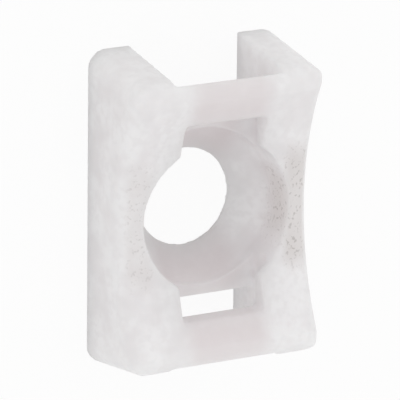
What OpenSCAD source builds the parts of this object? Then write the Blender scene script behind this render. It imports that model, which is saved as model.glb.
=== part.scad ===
// Cable tie mount, screw-on saddle type, moulded in one piece from natural nylon.
// X runs along the cable tie, Y across it and Z along the screw, up from the flat underside.

/* [Outline] */
// Length of the underside, along the tie
base_length = 23; // [21.5:0.5:28]
// Width across the two side walls
width = 15; // [14.5:0.5:20]
// Height of the flat lands beside the cradle
height = 7.6; // [7.2:0.1:9]
// Lean of both ends towards the cradle, in degrees
end_lean = 8.5; // [0:0.1:10]
// Rounding of the upright corners, and of the outer edges round the cradle
edge_r = 1.4; // [0.4:0.1:1.6]

/* [Cable cradle] */
// Radius of the cradle that the cables lie in
cradle_r = 19.2; // [16:0.2:24]
// Depth of the cradle below the lands
cradle_depth = 2.2; // [1.2:0.1:2.5]

/* [Tie tunnel] */
// Width of the tunnel, for the widest tie with its play
tunnel_width = 8.5; // [7.2:0.1:9.5]
// Height of the tunnel over the plate, for the thickest tie with its play
tunnel_height = 2.1; // [1.6:0.1:2.4]
// Distance between the inner edges of the two bridges
bridge_gap = 14.2; // [13.4:0.1:15.4]
// Distance that the bridges end short of the walls, at the top
bridge_setback = 0.1; // [0.05:0.05:0.6]
// Rounding of the bridges' inner edges, where the tie comes out over the screw
bridge_edge_r = 0.5; // [0.2:0.1:0.6]
// Width of the window between the bridges
window_width = 6.4; // [5:0.1:7]

/* [Screw seat] */
// Diameter of the screw hole
hole_d = 7.1; // [4:0.1:8]
// Length of the straight hole below the countersink
hole_land = 0.3; // [0.3:0.1:0.8]
// Full angle of the countersink, in degrees
sink_angle = 90; // [82:1:120]
// Diameter of the recess that takes the screw head
head_d = 11.4; // [10:0.1:11.8]
// Thickness of the plate that the screw clamps
plate_thickness = 3; // [2.8:0.1:3.4]
// Length of the plate between the two end openings
plate_length = 13; // [12.6:0.1:13.4]

/* [Hidden] */
nylon_colour = "#ece9e5";
facets = 96;
overcut = 1;   // how far each cut runs past the face that it opens

cradle_floor = height - cradle_depth;
cradle_axis = cradle_floor + cradle_r;
tunnel_top = plate_thickness + tunnel_height;
top_length = base_length - 2 * height * tan(end_lean);
bridge_end = top_length / 2 - bridge_setback;
bend_r = height - tunnel_top;   // the tie bends round this radius at a bridge's outer end
sink_height = (head_d - hole_d) / 2 / tan(sink_angle / 2);

// Half the length of the part at a height above the underside.
function half_length(z) = base_length / 2 - z * tan(end_lean);

// Centre of the ball that rounds the top of a corner.
ball_z = height - edge_r;
ball_x = half_length(ball_z) - edge_r / cos(end_lean);

// Both ends of the part, from the shape made for the +X end.
module both_ends() {
    children();
    mirror([1, 0, 0]) children();
}

// Both side walls of the part, from the shape made for the +Y wall.
module both_sides() {
    children();
    mirror([0, 1, 0]) children();
}

// A side profile, drawn in X and Z, as a solid of the given width centred on Y.
module across(w) {
    rotate([90, 0, 0]) linear_extrude(height = w, center = true) children();
}

// What comes off the top edge of a leaning end.
module end_edge_profile() {
    reach = edge_r + overcut;
    translate([ball_x, ball_z]) difference() {
        polygon([
            [0, 0],
            [0, reach],
            [reach, reach],
            reach * [cos(end_lean), sin(end_lean)],
        ]);
        circle(r = edge_r, $fn = facets);
    }
}

// The plain block: leaning ends with a rounded top edge.
module block() {
    across(width) difference() {
        polygon([
            [-half_length(0), 0],
            [half_length(0), 0],
            [half_length(height), height],
            [-half_length(height), height],
        ]);
        both_ends() end_edge_profile();
    }
}

// What comes off one upright corner, along the leaning end.
module corner_cut() {
    run = height / cos(end_lean) + 2 * overcut;
    translate([base_length / 2, width / 2, 0]) rotate([0, -end_lean, 0])
        translate([-edge_r, -edge_r, -overcut]) difference() {
            cube([edge_r + overcut, edge_r + overcut, run]);
            translate([0, 0, -overcut]) cylinder(r = edge_r, h = run + 2 * overcut, $fn = facets);
        }
}

// What comes off the point where three rounded edges meet, to leave a ball there.
module point_cut() {
    reach = edge_r + overcut;
    translate([ball_x, width / 2 - edge_r, ball_z]) difference() {
        intersection() {
            cube(reach);
            rotate([0, -end_lean, 0]) translate([-reach, 0, 0]) cube([3 * reach, reach, 2 * reach]);
        }
        sphere(r = edge_r, $fn = facets);
    }
}

// What comes off a square edge at the origin, with the material on the -X -Y side.
module edge_profile() {
    difference() {
        translate([-edge_r, -edge_r]) square(edge_r + overcut);
        translate([-edge_r, -edge_r]) circle(r = edge_r, $fn = facets);
    }
}

// The long outer edge of a wall where it follows the cradle.
module cradle_edge_cut() {
    translate([0, width / 2, cradle_axis]) rotate([-90, 0, 0]) rotate_extrude($fn = 2 * facets)
        translate([cradle_r, 0]) mirror([1, 0]) edge_profile();
}

// The long outer edge of a wall where it follows the lands.
module land_edge_cut() {
    translate([0, width / 2, height]) rotate([90, 0, 90])
        linear_extrude(height = base_length, center = true) edge_profile();
}

// The round trough that the cables lie in.
module cradle_cut() {
    translate([0, 0, cradle_axis]) rotate([90, 0, 0])
        cylinder(r = cradle_r, h = width + 2 * overcut, center = true, $fn = 2 * facets);
}

// The tunnel for the tie, with the room beyond the plate that is open to the underside.
// Each bridge over it ends in a quarter round that the tie bends up around.
module tunnel_profile() {
    outer = base_length / 2 + overcut;
    translate([-outer, plate_thickness]) square([2 * outer, tunnel_height]);
    both_ends() {
        translate([plate_length / 2, -overcut])
            square([outer - plate_length / 2, tunnel_top + overcut]);
        difference() {
            translate([bridge_end - bend_r, tunnel_top - overcut])
                square([outer - bridge_end + bend_r, bend_r + 2 * overcut]);
            translate([bridge_end - bend_r, height]) circle(r = bend_r, $fn = facets);
            translate([bridge_end - bend_r - overcut, height])
                square([bend_r + overcut, 3 * overcut]);
        }
    }
}

// What comes off a bridge's inner edge, between the window and the cradle.
module bridge_edge_profile() {
    centre_x = bridge_gap / 2 + bridge_edge_r;
    drop = sqrt(pow(cradle_r + bridge_edge_r, 2) - pow(centre_x, 2));
    reach = bridge_edge_r + overcut;
    lean = asin(centre_x / (cradle_r + bridge_edge_r));
    translate([centre_x, cradle_axis - drop]) difference() {
        polygon([
            [0, 0],
            [-reach, 0],
            [-reach, reach],
            reach * [-sin(lean), cos(lean)],
        ]);
        circle(r = bridge_edge_r, $fn = facets);
    }
}

// The window over the screw, between the two bridges.
module window_cut() {
    across(window_width) {
        translate([-bridge_gap / 2, plate_thickness]) square([bridge_gap, height]);
        both_ends() bridge_edge_profile();
    }
}

// The screw hole, its countersink and the round recess that lets the screw head in.
module screw_seat_cut() {
    translate([0, 0, -overcut]) cylinder(d = hole_d, h = height, $fn = facets);
    translate([0, 0, hole_land])
        cylinder(d1 = hole_d, d2 = head_d, h = sink_height, $fn = facets);
    translate([0, 0, hole_land + sink_height]) cylinder(d = head_d, h = height, $fn = facets);
}

module saddle_mount() {
    color(nylon_colour) difference() {
        block();
        both_ends() both_sides() {
            corner_cut();
            point_cut();
        }
        both_sides() {
            cradle_edge_cut();
            land_edge_cut();
        }
        cradle_cut();
        across(tunnel_width) tunnel_profile();
        window_cut();
        screw_seat_cut();
    }
}

saddle_mount();
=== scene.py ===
import math

import bpy
from mathutils import Matrix, Vector


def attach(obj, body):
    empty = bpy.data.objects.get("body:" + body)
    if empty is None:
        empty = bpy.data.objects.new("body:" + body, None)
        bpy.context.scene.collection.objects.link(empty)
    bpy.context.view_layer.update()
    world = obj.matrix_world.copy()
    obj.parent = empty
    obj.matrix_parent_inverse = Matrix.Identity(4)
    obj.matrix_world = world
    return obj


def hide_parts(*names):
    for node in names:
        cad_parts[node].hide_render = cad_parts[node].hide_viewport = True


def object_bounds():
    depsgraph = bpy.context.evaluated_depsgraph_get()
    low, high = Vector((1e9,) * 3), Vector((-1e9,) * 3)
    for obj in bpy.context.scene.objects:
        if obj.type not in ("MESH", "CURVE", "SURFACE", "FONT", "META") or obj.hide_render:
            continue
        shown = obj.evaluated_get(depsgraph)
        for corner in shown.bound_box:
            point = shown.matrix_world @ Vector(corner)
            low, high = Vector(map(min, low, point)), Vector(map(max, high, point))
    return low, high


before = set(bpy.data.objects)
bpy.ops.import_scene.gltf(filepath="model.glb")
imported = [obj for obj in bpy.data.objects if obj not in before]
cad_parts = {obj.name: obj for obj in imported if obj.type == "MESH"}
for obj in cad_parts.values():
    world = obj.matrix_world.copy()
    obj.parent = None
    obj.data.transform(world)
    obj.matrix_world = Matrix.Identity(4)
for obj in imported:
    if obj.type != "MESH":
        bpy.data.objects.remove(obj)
cadLow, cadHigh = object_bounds()
mm = 0.001
print("frame loaded, size in mm:", [round(side / mm, 2) for side in cadHigh - cadLow])


def hexToLinear(hexColour):
    channels = [int(hexColour[i:i + 2], 16) / 255 for i in (1, 3, 5)]
    linear = [c / 12.92 if c <= 0.04045 else ((c + 0.055) / 1.055) ** 2.4 for c in channels]
    return (*linear, 1.0)


def addNode(tree, kind, settings=None, links=None):
    # a lower-case name is a property of the node, any other name or a number is one of its sockets
    node = tree.nodes.new(kind)
    for name, value in (settings or {}).items():
        if isinstance(name, str) and name[0].islower():
            setattr(node, name, value)
        else:
            node.inputs[name].default_value = value
    for name, source in (links or {}).items():
        tree.links.new(source, node.inputs[name])
    return node


def emptyTree(name):
    # a new material, with no nodes in its tree yet
    material = bpy.data.materials.new(name)
    material.use_nodes = True
    material.node_tree.nodes.clear()
    return material, material.node_tree


saddle = {
    "colour": "#F3F1F2",          # natural nylon: a pale, almost neutral white
    "cloudColour": "#E8E5E6",     # the greyer clouds in it
    "paintedThinShadeColour": "#DAD2D3",      # painted shade on the bridges and the screw seat, where the plastic is thinner and the middle lies in shade
    "paintedWaistShadeColour": "#DBD7D6",      # painted shade: a slight grey on both walls beside the recess, at the cradle's lowest line
    "speckColour": "#AFAAA8",     # the small dark specks inside that painted shade
    "ior": 1.53,
    "metallic": 0.0,
    "scatterShare": 1.0,
    "scatterMm": 4.5,             # how far light spreads inside the plastic
    "scatterReach": (1.0, 0.97, 0.96),  # shares of it for red, green and blue, so it is faintly warm
    "grainDepthMm": 0.006,
    "grainStrength": 0.5,
    "patternRoughness": 0.55,
    # a pattern sets in softly between two noise levels, and has one amount before them and one after
    "patterns": {
        # soft cloudy patches of the moulded plastic
        "cloud": {"sizeMm": 2.6, "detail": 2.0, "setsIn": (0.35, 0.7), "amount": (0.0, 1.0)},
        # finer clouds inside them
        "mottle": {"sizeMm": 0.55, "detail": 1.0, "setsIn": (0.4, 0.7), "amount": (0.0, 0.5)},
        # small dark marks
        "speck": {"sizeMm": 0.27, "detail": 1.0, "setsIn": (0.56, 0.7), "amount": (0.0, 0.6)},
        # spark-eroded mould grain, really 0.05 mm and drawn coarser to show, whose amount is the roughness
        "grain": {"sizeMm": 0.22, "detail": 2.0, "setsIn": (0.3, 0.7), "amount": (0.44, 0.56)},
    },
    # a zone fades between two places, as shares of the part's half length (along), half width (across and
    # sideways, the second one with its sign) or height (up)
    "zones": {
        # painted shade over the bridges and the screw seat in the middle
        "paintedThinShade": {"measure": "across", "between": (0.28, 0.533), "amount": (0.75, 0.0)},
        # painted shade on both walls beside the recess, at the cradle's lowest line
        "paintedWaistShadeInside": {"measure": "across", "between": (0.613, 0.773), "amount": (0.0, 1.0)},
        "paintedWaistShadeOutside": {"measure": "across", "between": (0.893, 0.973), "amount": (1.0, 0.0)},
        "paintedWaistShadeEnds": {"measure": "along", "between": (0.261, 0.47), "amount": (1.0, 0.0)},
        "paintedWaistShadeFoot": {"measure": "up", "between": (0.197, 0.526), "amount": (0.0, 1.0)},
        # the wall at +Y has less of this painted shade than the other
        "paintedWaistShadeWalls": {"measure": "sideways", "between": (-0.533, 0.533), "amount": (1.0, 0.5)},
    },
    "weldMm": 0.002,
    "cellMm": 0.13,               # mesh cell, a small part of the smallest edge rounding
    "easeShare": 0.5,
    "easeSteps": 6,
}


def nylonMaterial(look):
    # Natural polyamide 66, injection moulded in a spark-eroded tool: satin, milky and a bit see-through, so
    # light softens every edge and faint clouds lie under a very fine grain. The thinner parts look greyer
    # through painted shade in the colour, as do the walls beside the recess.
    material, tree = emptyTree("nylonNaturalMoulded")
    place = addNode(tree, "ShaderNodeTexCoord").outputs["Object"]
    inMm = addNode(tree, "ShaderNodeMapping", {"Scale": (1 / mm,) * 3}, {"Vector": place}).outputs["Vector"]
    axes = addNode(tree, "ShaderNodeSeparateXYZ", None, {"Vector": inMm}).outputs
    along = addNode(tree, "ShaderNodeMath", {"operation": "ABSOLUTE"}, {0: axes["X"]}).outputs[0]
    across = addNode(tree, "ShaderNodeMath", {"operation": "ABSOLUTE"}, {0: axes["Y"]}).outputs[0]
    halfLength, halfWidth, height = cadHigh / mm
    measures = {
        "along": (along, halfLength),
        "across": (across, halfWidth),
        "sideways": (axes["Y"], halfWidth),
        "up": (axes["Z"], height),
    }

    noises = {}
    steps = {}
    for name, pattern in look["patterns"].items():
        settings = {
            "Scale": 1 / pattern["sizeMm"],
            "Detail": pattern["detail"],
            "Roughness": look["patternRoughness"],
        }
        noises[name] = addNode(tree, "ShaderNodeTexNoise", settings, {"Vector": inMm}).outputs["Fac"]
        steps[name] = (noises[name], pattern["setsIn"], pattern["amount"])
    for name, zone in look["zones"].items():
        distance, reach = measures[zone["measure"]]
        steps[name] = (distance, [share * reach for share in zone["between"]], zone["amount"])

    amounts = {}
    for name, (value, (start, end), (before, after)) in steps.items():
        settings = {
            "interpolation_type": "SMOOTHSTEP",
            "From Min": start,
            "From Max": end,
            "To Min": before,
            "To Max": after,
        }
        amounts[name] = addNode(tree, "ShaderNodeMapRange", settings, {"Value": value}).outputs["Result"]

    # the painted shade beside the recess lies where all its zones meet, so not on the outer sides, and the
    # specks lie inside it
    product = {"operation": "MULTIPLY"}
    paintedWaistShade = amounts["paintedWaistShadeInside"]
    for name in ("paintedWaistShadeOutside", "paintedWaistShadeEnds", "paintedWaistShadeFoot", "paintedWaistShadeWalls"):
        paintedWaistShade = addNode(tree, "ShaderNodeMath", product, {0: paintedWaistShade, 1: amounts[name]}).outputs[0]
    specks = addNode(tree, "ShaderNodeMath", product, {0: paintedWaistShade, 1: amounts["speck"]}).outputs[0]

    # each tone lies over the one before, and the first over the plain nylon colour
    # (sockets 6 and 7 of a mix are its two colours, and socket 0 is the share of the second)
    tones = [
        ("cloudColour", amounts["cloud"]),
        ("cloudColour", amounts["mottle"]),
        # painted shade on the bridges and the screw seat
        ("paintedThinShadeColour", amounts["paintedThinShade"]),
        # painted shade on the walls beside the recess
        ("paintedWaistShadeColour", paintedWaistShade),
        ("speckColour", specks),
    ]
    under = {}
    for tone, share in tones:
        settings = {"data_type": "RGBA", 6: hexToLinear(look["colour"]), 7: hexToLinear(look[tone])}
        under = {6: addNode(tree, "ShaderNodeMix", settings, {0: share, **under}).outputs[2]}

    bump = addNode(tree, "ShaderNodeBump", {
        "Strength": look["grainStrength"],
        "Distance": look["grainDepthMm"] * mm,
    }, {"Height": noises["grain"]})
    shader = addNode(tree, "ShaderNodeBsdfPrincipled", {
        "IOR": look["ior"],
        "Metallic": look["metallic"],
        "Subsurface Weight": look["scatterShare"],
        "Subsurface Radius": look["scatterReach"],
        "Subsurface Scale": look["scatterMm"] * mm,
    }, {
        "Base Color": under[6],
        "Roughness": amounts["grain"],
        "Normal": bump.outputs["Normal"],
    })
    addNode(tree, "ShaderNodeOutputMaterial", None, {"Surface": shader.outputs["BSDF"]})
    return material


def makeSaddle(look):
    # the solid's own shape, worked on in mm, with every sharp edge eased as a moulded edge is
    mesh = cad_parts["saddle_mount"].data.copy()
    mesh.materials.clear()
    mesh.transform(Matrix.Scale(1 / mm, 4))
    piece = bpy.data.objects.new("saddleMoulded", mesh)
    bpy.context.scene.collection.objects.link(piece)
    weld = piece.modifiers.new("weld", "WELD")
    weld.merge_threshold = look["weldMm"]
    cells = piece.modifiers.new("cells", "REMESH")
    cells.mode = "VOXEL"
    cells.voxel_size = look["cellMm"]
    ease = piece.modifiers.new("ease", "SMOOTH")
    ease.factor = look["easeShare"]
    ease.iterations = look["easeSteps"]
    depsgraph = bpy.context.evaluated_depsgraph_get()
    finished = bpy.data.meshes.new_from_object(piece.evaluated_get(depsgraph))
    piece.modifiers.clear()
    piece.data = finished
    finished.transform(Matrix.Scale(mm, 4))
    finished.shade_smooth()
    finished.materials.append(nylonMaterial(look))
    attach(piece, "root")
    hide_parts("saddle_mount")
    return piece


mount = makeSaddle(saddle)
print("saddle mount made,", len(mount.data.polygons), "faces")


studio = {
    "backdropColour": "#FFFFFF",
    "floorColour": "#FCFCFB",
    "floorGlow": 0.9,             # share of plain white that the eye sees in the floor, the rest is lit
    "floorLight": 0.22,           # the same for the light that it gives to the part's underside
    "floorSideMm": 3000,
    "floorGapMm": 0.02,           # below the part, so that the two faces never flicker through each other
    "ambient": 0.81,
    "keyPower": 0.1,
    "keySideMm": 300,
    "keyFromMm": (80, -120, 420),
}


def boardMaterial(look):
    # Pale matt board: it shows as near white and still takes the soft shadow.
    material, tree = emptyTree("boardPaleMatt")
    rays = addNode(tree, "ShaderNodeLightPath").outputs
    seen = rays["Is Camera Ray"]
    for kind in ("Is Glossy Ray", "Is Transmission Ray"):
        settings = {"operation": "ADD", "use_clamp": True}
        seen = addNode(tree, "ShaderNodeMath", settings, {0: seen, 1: rays[kind]}).outputs[0]
    glow = addNode(tree, "ShaderNodeMapRange", {
        "To Min": look["floorLight"],
        "To Max": look["floorGlow"],
    }, {"Value": seen})
    board = addNode(tree, "ShaderNodeBsdfDiffuse", {"Color": hexToLinear(look["floorColour"])})
    white = addNode(tree, "ShaderNodeEmission", {"Color": hexToLinear(look["backdropColour"])})
    above = addNode(tree, "ShaderNodeMixShader", None,
                    {0: glow.outputs[0], 1: board.outputs[0], 2: white.outputs[0]})
    # seen from below the board is clear, so that it doesn't hide the underside
    clear = addNode(tree, "ShaderNodeBsdfTransparent")
    fromBelow = addNode(tree, "ShaderNodeNewGeometry").outputs["Backfacing"]
    sided = addNode(tree, "ShaderNodeMixShader", None,
                    {0: fromBelow, 1: above.outputs[0], 2: clear.outputs[0]})
    addNode(tree, "ShaderNodeOutputMaterial", None, {"Surface": sided.outputs[0]})
    return material


def makeFloor(look):
    half = look["floorSideMm"] * mm / 2
    mesh = bpy.data.meshes.new("floor")
    corners = [(-half, -half, 0), (half, -half, 0), (half, half, 0), (-half, half, 0)]
    mesh.from_pydata(corners, [], [(0, 1, 2, 3)])
    floor = bpy.data.objects.new("floor", mesh)
    floor.location.z = cadLow.z - look["floorGapMm"] * mm
    bpy.context.scene.collection.objects.link(floor)
    mesh.materials.append(boardMaterial(look))


def makeWorld(look):
    # even white light all round, at full white where the camera sees it
    world = bpy.data.worlds.new("studio")
    world.use_nodes = True
    tree = world.node_tree
    tree.nodes.clear()
    white = hexToLinear(look["backdropColour"])
    rays = addNode(tree, "ShaderNodeLightPath").outputs
    light = addNode(tree, "ShaderNodeBackground", {"Color": white, "Strength": look["ambient"]})
    backdrop = addNode(tree, "ShaderNodeBackground", {"Color": white})
    both = addNode(tree, "ShaderNodeMixShader", None,
                   {0: rays["Is Camera Ray"], 1: light.outputs[0], 2: backdrop.outputs[0]})
    addNode(tree, "ShaderNodeOutputWorld", None, {"Surface": both.outputs[0]})
    bpy.context.scene.world = world


def makeKeyLamp(look):
    # a soft square lamp: it shines along its own -Z, so its +Z points away from the part
    data = bpy.data.lights.new("keyLamp", "AREA")
    data.shape = "SQUARE"
    data.size = look["keySideMm"] * mm
    data.energy = look["keyPower"]
    lamp = bpy.data.objects.new("keyLamp", data)
    lamp.location = Vector(look["keyFromMm"]) * mm
    lamp.rotation_euler = lamp.location.to_track_quat("Z", "Y").to_euler()
    lamp.visible_camera = False
    bpy.context.scene.collection.objects.link(lamp)


makeFloor(studio)
makeWorld(studio)
makeKeyLamp(studio)
print("floor, surroundings and lamp made")


camera = {
    "turnDeg": 28.165,            # round the long axis, from straight above towards +Y
    "tipDeg": 17.017,             # towards the end at +X, which is up in the view
    "rollDeg": 0.729,
    "distanceMm": 309.37,
    "lensMm": 393.63,
    "sensorMm": 36,
    "acrossMm": -1.3230,          # from the middle of the view to the part's origin
    "downMm": -0.3432,
    "clipMm": (10, 10000),
}


def makeCamera(look):
    turn = math.radians(look["turnDeg"])
    tip = math.radians(look["tipDeg"])
    roll = math.radians(look["rollDeg"])
    back = Vector((math.sin(tip), math.sin(turn) * math.cos(tip), math.cos(turn) * math.cos(tip)))
    right = Vector((0, -math.cos(turn), math.sin(turn)))
    up = back.cross(right)
    rightRolled = math.cos(roll) * right + math.sin(roll) * up
    upRolled = math.cos(roll) * up - math.sin(roll) * right
    data = bpy.data.cameras.new("camera")
    data.lens = look["lensMm"]
    data.sensor_width = look["sensorMm"]
    data.clip_start, data.clip_end = (clip * mm for clip in look["clipMm"])
    viewer = bpy.data.objects.new("camera", data)
    place = look["distanceMm"] * back - look["acrossMm"] * rightRolled + look["downMm"] * upRolled
    facing = Matrix((rightRolled, upRolled, back)).transposed().to_4x4()
    viewer.matrix_world = Matrix.Translation(place * mm) @ facing
    bpy.context.scene.collection.objects.link(viewer)
    bpy.context.scene.camera = viewer


makeCamera(camera)
bpy.context.scene.view_settings.view_transform = "Standard"
print("camera set")
